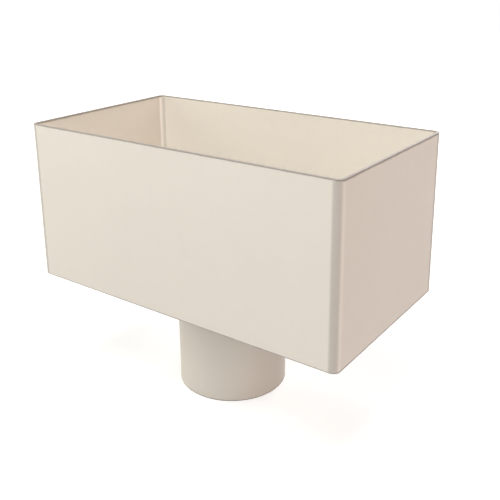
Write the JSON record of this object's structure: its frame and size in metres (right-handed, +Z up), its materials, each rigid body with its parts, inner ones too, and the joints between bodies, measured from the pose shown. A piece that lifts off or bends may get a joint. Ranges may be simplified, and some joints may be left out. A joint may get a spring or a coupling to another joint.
{
  "type": "downpipe hopper head",
  "caption": "Open-topped rectangular hopper head with rounded upright corners and a round outlet spigot under its flat base, which gathers roof water on a wall and feeds a downpipe.",
  "frame": {"origin": "centre of the spigot's lower end, on the axis of the outlet", "axes": "+Z up along the outlet, +X to the right along the wall as seen from the front, +Y towards the wall"},
  "size_m": [0.32, 0.175, 0.243],
  "materials": {
    "coated_sheet": "satin cream powder coat on aluminium sheet",
    "coated_tube": "satin cream powder coat on aluminium tube",
    "coated_weld": "satin cream powder coat over weld beads"
  },
  "bodies": {
    "root": {"hopper_body": "coated_sheet", "base_plate": "coated_sheet", "outlet_spigot": "coated_tube", "seam_weld": "coated_weld", "base_weld": "coated_weld", "spigot_weld": "coated_weld"}
  },
  "joints": []
}
